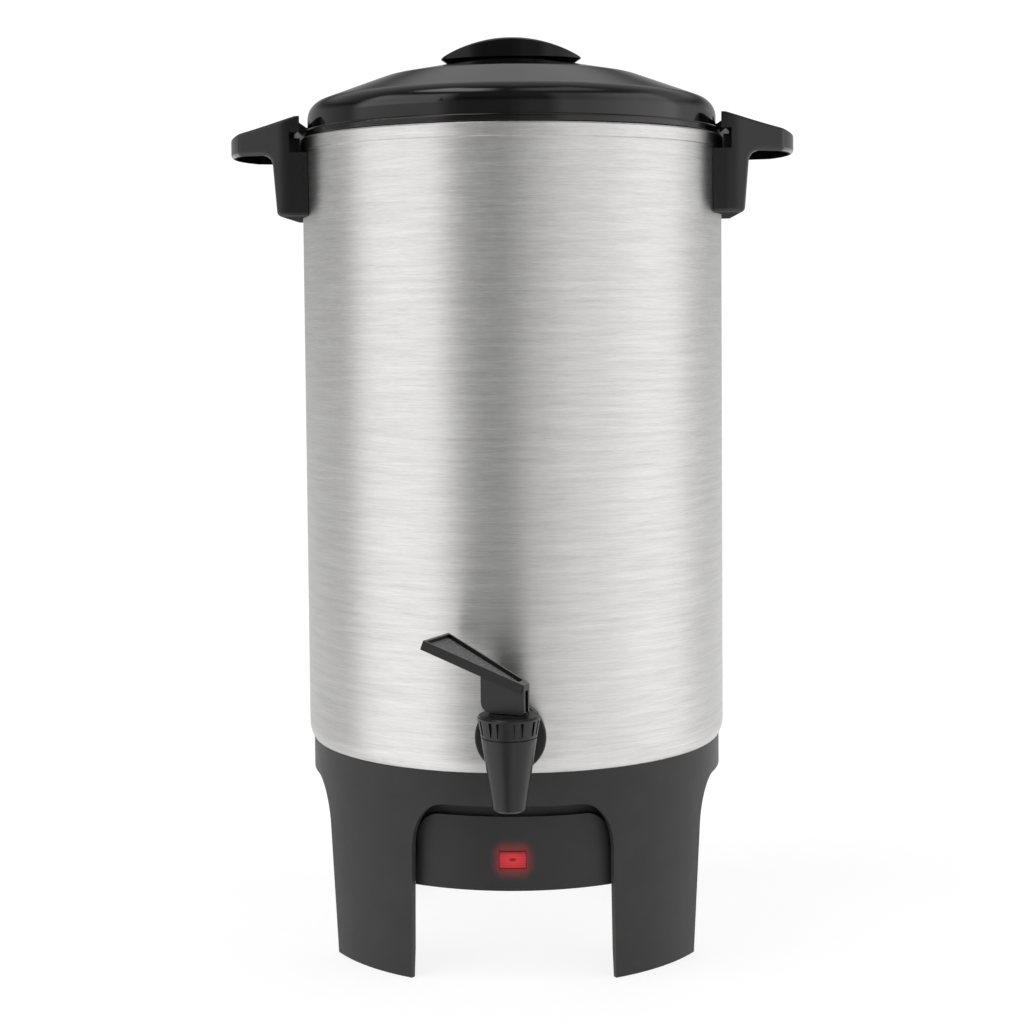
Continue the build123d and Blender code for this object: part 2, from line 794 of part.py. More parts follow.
def handle_plan(inset):
    """D-shaped plan of a handle, its walls moved in by an inset."""
    start_y = handle_w / 2 - inset
    turned = (handle_turned_x, inset - handle_turned_y)
    corner_x, corner_y = handle_corner_x - inset, handle_corner_y - inset
    with BuildSketch() as plan:
        with BuildLine():
            Line((inside_x, -start_y), (tank_r, -start_y))
            TangentArc((tank_r, -start_y), turned, tangent=(1, 0))
            Line(turned, (corner_x, -corner_y))
            mirror(about=Plane.XZ)
            ThreePointArc((corner_x, -corner_y), (handle_tip_x - inset, 0), (corner_x, corner_y))
            Line((inside_x, -start_y), (inside_x, start_y))
        make_face()
    return plan.sketch


with BuildPart() as grip_hollow:
    with BuildSketch(Plane.XY.offset(handle_bottom_z)):
        add(handle_plan(handle_wall))
    extrude(amount=handle_top_z - handle_bottom_z)
    with BuildSketch(Plane.XZ):
        with BuildLine():
            Polyline(
                (handle_leg_top_x, handle_bottom_z),
                (handle_tip_x, handle_bottom_z),
                (handle_tip_x, handle_end_top_z - handle_wall),
                (handle_leg_top_x, roof_at_leg),
                close=True,
            )
        make_face()
    extrude(amount=handle_w, both=True, mode=Mode.INTERSECT)


def on_low_edges(edge):
    """Whether an edge bounds the leg's or the grip's underside or the leg's outer corners."""
    box = edge.bounding_box()
    outer = abs(edge.center().Y) > handle_corner_y / 2 or box.max.X > handle_corner_x + 1
    return box.max.Z < handle_grip_z + 0.1 and edge.center().X > tank_r + rim_proud and outer


def on_top_edges(edge):
    """Whether an edge bounds the grip's top."""
    return edge.bounding_box().min.Z > handle_end_top_z - 1 and edge.center().X > face_r + 0.1


with BuildPart() as handle_right:
    with BuildSketch(Plane.XY.offset(handle_bottom_z)):
        add(handle_plan(0))
    extrude(amount=handle_top_z - handle_bottom_z + 1)
    with BuildSketch(Plane.XZ) as side:
        with BuildLine():
            Polyline(
                (inside_x, handle_top_z),
                (inside_x, handle_bottom_z),
                (handle_leg_x, handle_bottom_z),
                (handle_leg_top_x, handle_grip_z),
                (handle_tip_x + 1, handle_grip_z),
                (handle_tip_x + 1, handle_end_top_z),
            )
            Line((inside_x, handle_top_z), (tank_r, handle_top_z))
            SagittaArc((handle_tip_x + 1, handle_end_top_z), (tank_r, handle_top_z), 0.4)
        make_face()
        throat = side.vertices().sort_by_distance((handle_leg_top_x, handle_grip_z, 0))[0]
        fillet(throat, handle_throat_r)
        heel = side.vertices().sort_by_distance((handle_leg_x, handle_bottom_z, 0))[0]
        fillet(heel, handle_throat_r / 2)
    extrude(amount=handle_w, both=True, mode=Mode.INTERSECT)
    upright_edges = handle_right.edges().filter_by(Axis.Z)
    fillet(
        upright_edges.filter_by_position(Axis.X, handle_turned_x + 1, handle_tip_x), handle_corner_round
    )
    fillet(handle_right.edges().filter_by(on_low_edges), handle_edge_round)
    fillet(handle_right.edges().filter_by(on_top_edges), handle_top_round)
    with BuildSketch(Plane.XY.offset(handle_bottom_z - 1)):
        Circle(tank_r + fit)
    extrude(amount=handle_top_z, mode=Mode.SUBTRACT)
    with BuildSketch(Plane.XY.offset(notch_z)):
        Circle(tank_r + notch_room)
        Rectangle(2 * handle_tip_x, 2 * notch_rib_half, mode=Mode.SUBTRACT)
    extrude(amount=notch_h, mode=Mode.SUBTRACT)
    with BuildSketch(Plane.XY.offset(notch_z)):
        Circle(tank_r + rim_proud + gap)
    extrude(amount=notch_h, mode=Mode.SUBTRACT)
    with BuildSketch(Plane.XY.offset(rim_z + notch_rib_up)):
        Circle(face_r)
    extrude(amount=handle_top_z, mode=Mode.SUBTRACT)
    add(grip_hollow.part, mode=Mode.SUBTRACT)
    with BuildSketch(Plane.XY.offset(leg_hollow_z)):
        with Locations((leg_hollow_x / 2, 0)):
            Rectangle(leg_hollow_x, 2 * leg_hollow_half)
    extrude(amount=leg_hollow_top - leg_hollow_z, mode=Mode.SUBTRACT)
    with BuildSketch(facing(90, handle_tip_x)):
        with Locations(*[(s * handle_screw_y, handle_screw_z) for s in (-1, 1)]):
            Circle(handle_head_r + gap)
    extrude(amount=screw_seat_x - handle_tip_x, mode=Mode.SUBTRACT)
    with BuildSketch(facing(90, handle_tip_x)):
        with Locations(*[(s * handle_screw_y, handle_screw_z) for s in (-1, 1)]):
            Circle(handle_screw_r + fit)
    extrude(amount=tank_r - handle_tip_x, mode=Mode.SUBTRACT)
save(handle_right.part, "handle_right")

with BuildPart() as handle_left:
    mirror(handle_right.part, about=Plane.YZ)
save(handle_left.part, "handle_left")

bracket_z = handle_screw_z - bracket_h / 2
with BuildPart() as bracket_right:
    with BuildSketch(Plane.XY.offset(bracket_z)):
        Circle(tank_r + fit + bracket_t)
        with Locations((tank_r, 0)):
            Rectangle(tank_r, 2 * bracket_half, mode=Mode.INTERSECT)
    extrude(amount=bracket_h)
    with BuildSketch(facing(90, leg_hollow_x)):
        with Locations(*[(s * handle_screw_y, handle_screw_z) for s in (-1, 1)]):
            Circle(bracket_boss_r)
    extrude(amount=-tank_r / 8)
    with BuildSketch(Plane.XY.offset(bracket_z)):
        Circle(tank_r + fit)
    extrude(amount=bracket_h, mode=Mode.SUBTRACT)
    with BuildSketch(facing(90, leg_hollow_x)):
        with Locations(*[(s * handle_screw_y, handle_screw_z) for s in (-1, 1)]):
            Circle(handle_screw_r)
    extrude(amount=-tank_r / 8, mode=Mode.SUBTRACT)
save(bracket_right.part, "handle_bracket_right")

with BuildPart() as bracket_left:
    mirror(bracket_right.part, about=Plane.YZ)
save(bracket_left.part, "handle_bracket_left")

with BuildPart() as handle_screws:
    for side_azimuth in (90, 270):
        with BuildSketch(facing(side_azimuth, screw_seat_x)):
            with Locations(*[(s * handle_screw_y, handle_screw_z) for s in (-1, 1)]):
                Circle(handle_screw_r - thread_fit)
        extrude(amount=tank_r + 1 - screw_seat_x)
        with BuildSketch(facing(side_azimuth, screw_seat_x)):
            with Locations(*[(s * handle_screw_y, handle_screw_z) for s in (-1, 1)]):
                Circle(handle_head_r)
        extrude(amount=handle_head_h)
        for screw_y in (-handle_screw_y, handle_screw_y):
            with BuildSketch(facing(side_azimuth, screw_seat_x + handle_head_h)):
                with Locations((screw_y, handle_screw_z)):
                    add(cross_slot(handle_head_r))
            extrude(amount=-slot_deep, mode=Mode.SUBTRACT)
save(handle_screws.part, "handle_screws")

# ---------------------------------------------------------------- lid
lid_corner_z = lid_z + lid_corner_h
inner_corner_z = lid_corner_z - lid_wall * (hypot(1, lid_slope) - lid_slope)

with BuildPart() as lid:
    with BuildSketch(Plane.XZ) as lid_half:
        with BuildLine():
            Polyline(
                (0, lid_top_z),
                (lid_plateau_r, lid_top_z),
                (lid_break_r, lid_z + lid_break_h),
                (lid_side_r, lid_corner_z),
                (lid_side_r, lid_z + lid_flange_t),
                (lid_r, lid_z + lid_flange_t),
                (lid_r, lid_z),
                (plug_r, lid_z),
                (plug_r, lid_z - lid_plug_depth),
                (plug_r - lid_plug_t, lid_z - lid_plug_depth),
                (plug_r - lid_plug_t, lid_z),
                (lid_side_r - lid_wall, lid_z + lid_flange_t),
                (lid_side_r - lid_wall, inner_corner_z),
                (lid_break_r - lid_wall / 4, lid_z + lid_break_h - lid_wall),
                (lid_plateau_r, lid_top_z - lid_wall),
                (0, lid_top_z - lid_wall),
                close=True,
            )
        make_face()
        for corner_x, corner_z, corner_round in (
            (lid_side_r, lid_corner_z, lid_corner_round),
            (lid_side_r - lid_wall, inner_corner_z, lid_corner_round - lid_wall),
            (lid_break_r, lid_z + lid_break_h, lid_break_round),
            (lid_r, lid_z + lid_flange_t, lid_flange_round),
            (lid_r, lid_z, lid_flange_round / 3),
        ):
            corner = lid_half.vertices().sort_by_distance((corner_x, corner_z, 0))[0]
            fillet(corner, corner_round)
    revolve(axis=Axis.Z)
    for s in (-1, 1):
        with BuildSketch(Plane.XZ):
            with BuildLine():
                Polyline(
                    (s * (lid_side_r - lid_wall / 3), lid_z + lid_flange_t / 2),
                    (s * lid_r, lid_z + lid_flange_t / 2),
                    (s * (lid_r + ear_out), lid_z + ear_low),
                    (s * (lid_r + ear_out), lid_z + ear_high),
                    (s * lid_side_r, lid_z + ear_root_h),
                    (s * (lid_side_r - lid_wall / 3), lid_z + ear_root_h),
                    close=True,
                )
            make_face()
        extrude(amount=ear_w / 2, both=True)
    with Locations((0, 0, lid_top_z)):
        Hole(knob_screw_r + fit, depth=2 * lid_wall)
save(lid.part, "lid")

knob_z = lid_top_z + knob_flare_h
knob_top_z = lid_top_z + knob_h
dome_rise = knob_h - knob_flare_h - 0.5
dome_r = (knob_half**2 + dome_rise**2) / (2 * dome_rise)
dome_axis_z = knob_top_z - dome_r

with BuildPart() as lid_knob:
    with BuildSketch(Plane.XY.offset(lid_top_z)):
        Ellipse(knob_base_half, knob_base_depth / 2)
    with BuildSketch(Plane.XY.offset(knob_z)):
        Ellipse(knob_half, knob_depth / 2)
    loft(ruled=True)
    with BuildSketch(Plane.XY.offset(knob_z)):
        Ellipse(knob_half, knob_depth / 2)
    extrude(amount=knob_h)
    with BuildSketch(Plane.YZ):
        with BuildLine():
            Polyline(
                (-knob_depth, knob_top_z - 4 * knob_side_drop),
                (-knob_depth, dome_axis_z),
                (knob_depth, dome_axis_z),
                (knob_depth, knob_top_z - 4 * knob_side_drop),
            )
            ThreePointArc(
                (-knob_depth, knob_top_z - 4 * knob_side_drop),
                (0, knob_top_z),
                (knob_depth, knob_top_z - 4 * knob_side_drop),
            )
        make_face()
    revolve(axis=Axis((0, 0, dome_axis_z), (0, 1, 0)), mode=Mode.INTERSECT)
    fillet(lid_knob.edges().group_by(Axis.Z)[-1], knob_round)
    with Locations(Location((0, 0, lid_top_z), (180, 0, 0))):
        Hole(knob_screw_r + thread_fit, depth=knob_screw_in + gap)
save(lid_knob.part, "lid_knob")

with BuildPart() as knob_screw:
    with BuildSketch(Plane.XY.offset(lid_top_z - lid_wall)):
        Circle(knob_head_r)
    extrude(amount=-knob_head_h)
    with BuildSketch(Plane.XY.offset(lid_top_z - lid_wall)):
        Circle(knob_screw_r)
    extrude(amount=lid_wall + knob_screw_in)
    with BuildSketch(Plane.XY.offset(lid_top_z - lid_wall - knob_head_h)):
        add(cross_slot(knob_head_r))
    extrude(amount=slot_deep, mode=Mode.SUBTRACT)
save(knob_screw.part, "lid_knob_screw")

# ---------------------------------------------------------------- tap body
tap_front = Plane(origin=(0, tap_y, 0), x_dir=(1, 0, 0), z_dir=(0, -1, 0))
tap_axis = Axis((0, tap_y, 0), (0, 0, 1))
flange_back = tank_r + gasket_t
nut_face = tank_in_r - inner_gasket_t
thread_end = nut_face - tap_nut_h - thread_tail
bore_z = tap_z - shank_bore_drop

with BuildPart() as tap_body:
    with BuildSketch(tap_front):
        with BuildLine():
            Polyline(
                (0, nozzle_z),
                (nozzle_r - lip, nozzle_z),
                (nozzle_r, nozzle_z + lip),
                (collar_r, collar_z),
                (neck_r, collar_z),
                (neck_r, neck_top_z),
                (0, neck_top_z),
                close=True,
            )
        make_face()
    revolve(axis=tap_axis)
    with BuildSketch(facing(0, flange_back)):
        with Locations((0, tap_z - arm_drop)):
            Ellipse(arm_half_w, arm_half_h)
    extrude(amount=tap_reach - gasket_t)
    with BuildSketch(facing(0, flange_back)):
        with Locations((0, tap_z)):
            Circle(flange_r)
    extrude(amount=flange_t)
    flange_rims = tap_body.edges().filter_by(GeomType.CIRCLE).sort_by(SortBy.RADIUS)[-2:]
    fillet(flange_rims.sort_by(Axis.Y)[0], lip)
    with BuildSketch(facing(0, thread_end)):
        with Locations((0, tap_z)):
            Circle(shank_r)
    extrude(amount=flange_back - thread_end)
    with BuildSketch(facing(0, thread_end)):
        with Locations((0, bore_z)):
            Circle(shank_bore_r)
    extrude(amount=-tap_y - thread_end, mode=Mode.SUBTRACT)
    with BuildSketch(Plane.XY.offset(seat_z)):
        with Locations((0, tap_y)):
            Circle(chamber_r)
    extrude(amount=neck_top_z - seat_z, mode=Mode.SUBTRACT)
    with BuildSketch(Plane.XY.offset(nozzle_z)):
        with Locations((0, tap_y)):
            Circle(nozzle_bore_r)
    extrude(amount=seat_z - nozzle_z, mode=Mode.SUBTRACT)
    with BuildSketch(Plane.XY.offset(seat_z - throat_h)):
        with Locations((0, tap_y)):
            Circle(throat_r)
    extrude(amount=throat_h, mode=Mode.SUBTRACT)
save(tap_body.part, "tap_body")

with BuildPart() as tap_gasket:
    with BuildSketch(facing(0, flange_back)):
        with Locations((0, tap_z)):
            Circle(flange_r - lip / 2)
            Circle(shank_r + fit, mode=Mode.SUBTRACT)
    extrude(amount=-2 * gasket_t)
    with BuildSketch(Plane.XY.offset(tap_z - flange_r)):
        Circle(tank_r + fit / 2)
    extrude(amount=2 * flange_r, mode=Mode.SUBTRACT)
save(tap_gasket.part, "tap_gasket")

with BuildPart() as tap_inner_gasket:
    with BuildSketch(facing(0, nut_face)):
        with Locations((0, tap_z)):
            Circle(inner_gasket_r)
            Circle(shank_r + fit, mode=Mode.SUBTRACT)
    extrude(amount=2 * inner_gasket_t)
    with BuildSketch(Plane.XY.offset(tap_z - inner_gasket_r)):
        Circle(tank_in_r - fit / 2)
    extrude(amount=2 * inner_gasket_r, mode=Mode.INTERSECT)
save(tap_inner_gasket.part, "tap_inner_gasket")

with BuildPart() as tap_nut:
    with BuildSketch(facing(0, nut_face)):
        with Locations((0, tap_z)):
            RegularPolygon(tap_nut_af / 2, 6, major_radius=False)
            Circle(shank_r + thread_fit, mode=Mode.SUBTRACT)
    extrude(amount=-tap_nut_h)
save(tap_nut.part, "tap_nut")

# ---------------------------------------------------------------- bonnet with ribs
groove_w = 1.5
groove_deep = 0.9
rib_half_turn = 8.2
rib_start = 18.0

with BuildPart() as tap_bonnet:
    with BuildSketch(tap_front):
        with BuildLine():
            Polyline(
                (neck_r + fit, collar_z),
                (collar_r - lip / 2, collar_z),
                (collar_r, collar_z + lip / 2),
                (bonnet_top_r, bonnet_top_z - lip),
                (bonnet_top_r - lip, bonnet_top_z),
                (bonnet_hole_r, bonnet_top_z),
                (bonnet_hole_r, neck_top_z),
                (neck_r + fit, neck_top_z),
                close=True,
            )
        make_face()
    revolve(axis=tap_axis)
    groove_turns = [
        rib_start + 360 / bonnet_ribs * i + s * rib_half_turn for i in range(bonnet_ribs) for s in (-1, 1)
    ]
    mean_r = (collar_r + bonnet_top_r) / 2
    with BuildSketch(Plane.XY.offset(collar_z + 2 * lip)):
        for turn in groove_turns:
            x, y, _ = polar(mean_r + groove_deep, turn)
            with Locations(Location((x, y + tap_y, 0), turn)):
                Rectangle(groove_w, 4 * groove_deep)
    extrude(amount=bonnet_top_z - collar_z - 4 * lip, mode=Mode.SUBTRACT)
save(tap_bonnet.part, "tap_bonnet")

washer_z = neck_top_z + gap
washer_top_z = web_bottom_z - gap
with BuildPart() as bearing_washer:
    with BuildSketch(Plane.XY.offset(washer_z)):
        with Locations((0, tap_y)):
            Circle(bonnet_hole_r - gap)
            Circle(stem_r + gap, mode=Mode.SUBTRACT)
    extrude(amount=washer_top_z - washer_z)
save(bearing_washer.part, "bearing_washer")

# ---------------------------------------------------------------- valve stem and seat cup
lever_turn = radians(lever_azimuth)
lever_dir = Vector(-sin(lever_turn), -cos(lever_turn), 0)
lever_side = Plane(
    origin=(0, tap_y, 0), x_dir=lever_dir, z_dir=(lever_dir.Y, -lever_dir.X, 0)
)
cup_z = seat_z + gap
stem_foot_z = cup_z + cup_floor

with BuildPart() as valve_stem:
    with BuildSketch(Plane.XY.offset(stem_foot_z)):
        with Locations((0, tap_y)):
            Circle(stem_r)
    extrude(amount=washer_z - stem_foot_z)
    with BuildSketch(lever_side):
        with Locations((0, (washer_z - stem_r + lever_pin_z) / 2)):
            Rectangle(2 * tongue_half, lever_pin_z - washer_z + stem_r)
        with Locations((0, lever_pin_z)):
            Circle(tongue_half)
            Circle(lever_pin_r + thread_fit, mode=Mode.SUBTRACT)
    extrude(amount=tongue_t / 2, both=True)
save(valve_stem.part, "valve_stem")

with BuildPart() as seat_cup:
    with BuildSketch(tap_front):
        with BuildLine():
            Polyline(
                (0, cup_z - cup_plug),
                (throat_r - 4 * gap, cup_z - cup_plug),
                (throat_r - 2 * gap, cup_z),
                (cup_r, cup_z),
                (cup_r, cup_z + cup_t),
                (cup_sleeve_r, cup_z + cup_t),
                (cup_sleeve_r, cup_z + cup_sleeve_h),
                (stem_r + thread_fit, cup_z + cup_sleeve_h),
                (stem_r + thread_fit, stem_foot_z),
                (0, stem_foot_z),
                close=True,
            )
        make_face()
    revolve(axis=tap_axis)
save(seat_cup.part, "seat_cup")

# ---------------------------------------------------------------- tap lever and its pin
heel = Vector(0, tap_y, lever_top_z) - lever_dir * lever_back
slope = radians(lever_tilt)
tray_plane = Plane(
    origin=heel,
    x_dir=lever_dir * cos(slope) + Vector(0, 0, sin(slope)),
    z_dir=lever_dir * -sin(slope) + Vector(0, 0, cos(slope)),
)
tray_low = lever_tray_t / cos(slope) - 0.5
pocket_half = tongue_half + lever_pin_up / 2
heel_slot_top_z = lever_top_z - lever_recess - heel_slot_rim


def half_width(along):
    """Half the tray's width at a distance along it from the heel."""
    return (lever_heel_w + (lever_tip_w - lever_heel_w) * along / lever_len) / 2


with BuildPart() as tap_lever:
    with BuildSketch(lever_side) as web:
        with BuildLine():
            Polyline(
                (-lever_back, web_bottom_z),
                (web_front, web_bottom_z),
                (web_front, lever_top_z - tray_low + (web_front + lever_back) * tan(slope)),
                (lever_tray_t * sin(slope) - lever_back, lever_top_z - lever_tray_t * cos(slope)),
                (-lever_back, lever_top_z),
                close=True,
            )
        make_face()
        fillet(web.vertices().sort_by_distance((web_front, web_bottom_z, 0))[0], cam_r)
        fillet(web.vertices().sort_by_distance((-lever_back, web_bottom_z, 0))[0], cam_r / 4)
    extrude(amount=web_thick / 2, both=True)
    with BuildSketch(tray_plane):
        Polygon(
            (0, -half_width(0)),
            (lever_len, -half_width(lever_len)),
            (lever_len, half_width(lever_len)),
            (0, half_width(0)),
            align=None,
        )
    extrude(amount=-lever_tray_t)
    with BuildSketch(tray_plane):
        Polygon(
            (lever_heel_rim, -half_width(lever_heel_rim) + lever_rim),
            (lever_len - lever_rim, -half_width(lever_len) + lever_rim),
            (lever_len - lever_rim, half_width(lever_len) - lever_rim),
            (lever_heel_rim, half_width(lever_heel_rim) - lever_rim),
            align=None,
        )
    extrude(amount=-lever_recess, mode=Mode.SUBTRACT)
    with BuildSketch(lever_side):
        with Locations((0, (web_bottom_z + lever_pin_z + lever_pin_up / 2) / 2)):
            Rectangle(2 * pocket_half, lever_pin_up * 1.5)
    extrude(amount=tongue_t / 2 + gap, both=True, mode=Mode.SUBTRACT)
    with BuildSketch(lever_side):
        Polygon(
            (0, web_bottom_z + heel_slot_rim),
            (0, heel_slot_top_z),
            (-lever_back - 1, heel_slot_top_z),
            (-lever_back - 1, web_bottom_z + heel_slot_rim),
            align=None,
        )
    extrude(amount=tongue_t / 2 + gap, both=True, mode=Mode.SUBTRACT)
    with BuildSketch(lever_side):
        with Locations((0, lever_pin_z)):
            Circle(lever_pin_r)
    extrude(amount=web_thick, both=True, mode=Mode.SUBTRACT)
save(tap_lever.part, "tap_lever")

with BuildPart() as lever_pin:
    with BuildSketch(lever_side):
        with Locations((0, lever_pin_z)):
            Circle(lever_pin_r)
    extrude(amount=web_thick / 2, both=True)
save(lever_pin.part, "lever_pin")

# ---------------------------------------------------------------- pump foot and tube
foot_z = well_z + tank_wall + gap
neck_in_r = tube_r + thread_fit
neck_out_r = neck_in_r + foot_cup_wall
foot_neck_z = foot_z + foot_cup_h
foot_top_z = foot_neck_z + foot_neck_h

with BuildPart() as pump_foot:
    with BuildSketch(Plane.XZ):
        with BuildLine():
            Polyline(
                (foot_cup_r - foot_cup_wall, foot_z),
                (foot_cup_r, foot_z),
                (foot_cup_r, foot_z + foot_skirt_h),
                (neck_out_r, foot_neck_z),
                (neck_out_r, foot_top_z),
                (neck_in_r, foot_top_z),
                (neck_in_r, foot_neck_z - foot_cup_wall),
                (foot_cup_r - foot_cup_wall, foot_z + foot_skirt_h - foot_cup_wall),
                close=True,
            )
        make_face()
    revolve(axis=Axis.Z)
save(pump_foot.part, "pump_foot")

with BuildPart() as pump_tube:
    with BuildSketch(Plane.XY.offset(foot_z + foot_skirt_h)):
        Circle(tube_r)
        Circle(tube_r - tube_wall, mode=Mode.SUBTRACT)
    extrude(amount=tube_top_z - foot_z - foot_skirt_h)
save(pump_tube.part, "pump_tube")

with BuildPart() as basket_seat:
    with BuildSketch(Plane.XY.offset(basket_z - gap - seat_ring_h)):
        Circle(seat_ring_r)
        Circle(neck_in_r, mode=Mode.SUBTRACT)
    extrude(amount=seat_ring_h)
    fillet(basket_seat.edges().filter_by(GeomType.CIRCLE).sort_by(SortBy.RADIUS)[-1], lip)
save(basket_seat.part, "basket_seat")

# ---------------------------------------------------------------- basket and its spreader
sleeve_in_r = tube_r + 2 * gap
sleeve_out_r = sleeve_in_r + basket_wall
basket_top_z = basket_z + basket_h


def hole_spots(first_count):
    """Points of concentric rings of holes, with more holes on the larger rings."""
    spots = []
    for ring in range(1, hole_rings + 1):
        radius = basket_r * ring / (hole_rings + 1)
        count = first_count * ring
        spots += [polar(radius, 360 * i / count) for i in range(count)]
    return spots


with BuildPart() as basket:
    with BuildSketch(Plane.XZ):
        with BuildLine():
            Polyline(
                (sleeve_in_r, basket_z),
                (basket_r, basket_z),
                (basket_r, basket_top_z),
                (basket_r - basket_wall, basket_top_z),
                (basket_r - basket_wall, basket_z + basket_wall),
                (sleeve_out_r, basket_z + basket_wall),
                (sleeve_out_r, basket_z + basket_sleeve_h),
                (sleeve_in_r, basket_z + basket_sleeve_h),
                close=True,
            )
        make_face()
    revolve(axis=Axis.Z)
    with BuildSketch(Plane.XY.offset(basket_z)):
        with Locations(hole_spots(8)):
            Circle(hole_r)
    extrude(amount=basket_wall, mode=Mode.SUBTRACT)
save(basket.part, "basket")

spreader_z = basket_top_z + gap
spreader_r = basket_r + gap
with BuildPart() as basket_cover:
    with BuildSketch(Plane.XZ):
        with BuildLine():
            Polyline(
                (sleeve_in_r, spreader_z),
                (spreader_r, spreader_z),
                (spreader_r, spreader_z - spreader_skirt),
                (spreader_r + spreader_t, spreader_z - spreader_skirt),
                (spreader_r + spreader_t, spreader_z + spreader_t),
                (sleeve_in_r, spreader_z + spreader_t),
                close=True,
            )
        make_face()
    revolve(axis=Axis.Z)
    with BuildSketch(Plane.XY.offset(spreader_z)):
        with Locations(hole_spots(6)):
            Circle(hole_r)
    extrude(amount=spreader_t, mode=Mode.SUBTRACT)
save(basket_cover.part, "basket_cover")
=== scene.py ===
import json
import math

import bpy
from mathutils import Matrix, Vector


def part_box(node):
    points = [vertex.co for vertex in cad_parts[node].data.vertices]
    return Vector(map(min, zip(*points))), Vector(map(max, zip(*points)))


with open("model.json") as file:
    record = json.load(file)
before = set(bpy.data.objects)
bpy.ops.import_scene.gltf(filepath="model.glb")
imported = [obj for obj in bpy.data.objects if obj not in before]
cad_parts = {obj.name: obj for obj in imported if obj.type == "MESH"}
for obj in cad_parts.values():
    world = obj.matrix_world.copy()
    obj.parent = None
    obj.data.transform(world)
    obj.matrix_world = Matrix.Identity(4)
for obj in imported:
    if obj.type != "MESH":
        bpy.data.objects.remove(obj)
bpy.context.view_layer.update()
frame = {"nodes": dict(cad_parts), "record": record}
nodes = frame["nodes"]
scene = bpy.context.scene

# ---------------------------------------------------------------- camera
CAM_DISTANCE = 0.98206
CAM_HEIGHT = 0.30061
CAM_PITCH = 0.0576
CAM_ROLL = 0.0086
CAM_TURN = math.radians(1.45)
CAM_CLIP = (0.05, 50)
FOCAL_PX = 2034.4
CENTRE_PX = (514.1, 425.5)
FRAME_PX = 1024
SENSOR_MM = 36.0


def make_camera():
    data = bpy.data.cameras.new("camera")
    data.sensor_fit = "HORIZONTAL"
    data.sensor_width = SENSOR_MM
    data.lens = SENSOR_MM * FOCAL_PX / FRAME_PX
    data.shift_x = (FRAME_PX / 2 - CENTRE_PX[0]) / FRAME_PX
    data.shift_y = (CENTRE_PX[1] - FRAME_PX / 2) / FRAME_PX
    data.clip_start, data.clip_end = CAM_CLIP
    camera = bpy.data.objects.new("camera", data)
    scene.collection.objects.link(camera)
    turn = Matrix.Rotation(CAM_TURN, 4, "Z")
    place = turn @ Matrix.Translation((0, -CAM_DISTANCE, CAM_HEIGHT))
    aim = Matrix.Rotation(math.pi / 2 - CAM_PITCH, 4, "X") @ Matrix.Rotation(-CAM_ROLL, 4, "Z")
    camera.matrix_world = place @ aim
    scene.camera = camera


make_camera()

# ---------------------------------------------------------------- node helpers


class Tree:
    """Short calls for building a node tree."""

    def __init__(self, tree):
        self.tree = tree

    def node(self, kind, **values):
        """A node with its settings and its sockets' values by name."""
        made = self.tree.nodes.new(kind)
        for key, value in values.items():
            if key in made.inputs:
                made.inputs[key].default_value = value
            else:
                setattr(made, key, value)
        return made

    def link(self, source, target):
        self.tree.links.new(source, target)

    def split(self, vector):
        """The X, Y and Z sockets of a vector."""
        made = self.node("ShaderNodeSeparateXYZ")
        self.link(vector, made.inputs["Vector"])
        return made.outputs

    def math(self, operation, first, second=None):
        made = self.node("ShaderNodeMath", operation=operation)
        for value, socket in zip((first, second), made.inputs):
            if isinstance(value, (int, float)):
                socket.default_value = value
            elif value is not None:
                self.link(value, socket)
        return made.outputs["Value"]

    def total(self, first, *others):
        for other in others:
            first = self.math("ADD", first, other)
        return first

    def product(self, first, *others):
        for other in others:
            first = self.math("MULTIPLY", first, other)
        return first

    def ease(self, source, start, end, low, high, easing="LINEAR"):
        """Goes from low to high while the source goes from start to end."""
        made = self.node("ShaderNodeMapRange", interpolation_type=easing)
        limits = {"From Min": start, "From Max": end, "To Min": low, "To Max": high}
        for name, value in limits.items():
            made.inputs[name].default_value = value
        self.link(source, made.inputs["Value"])
        return made.outputs["Result"]

    def azimuth(self, axes):
        """Angle round the Z axis in radians: 0 at the front, positive to the viewer's right."""
        return self.math("ARCTAN2", axes["X"], self.product(axes["Y"], -1.0))


NOISE_SPAN = (0.3, 0.7)  # most of what a noise gives lies between these
FINE_SPAN = (0.35, 0.65)  # a narrower span, for more contrast
GRAIN_DEPTH = 0.0001
MOTTLE_SCALE = 60
GLOSS_SCALE = 420
GLOSS_SPREAD = 0.06
TINT_SPREAD = 0.06


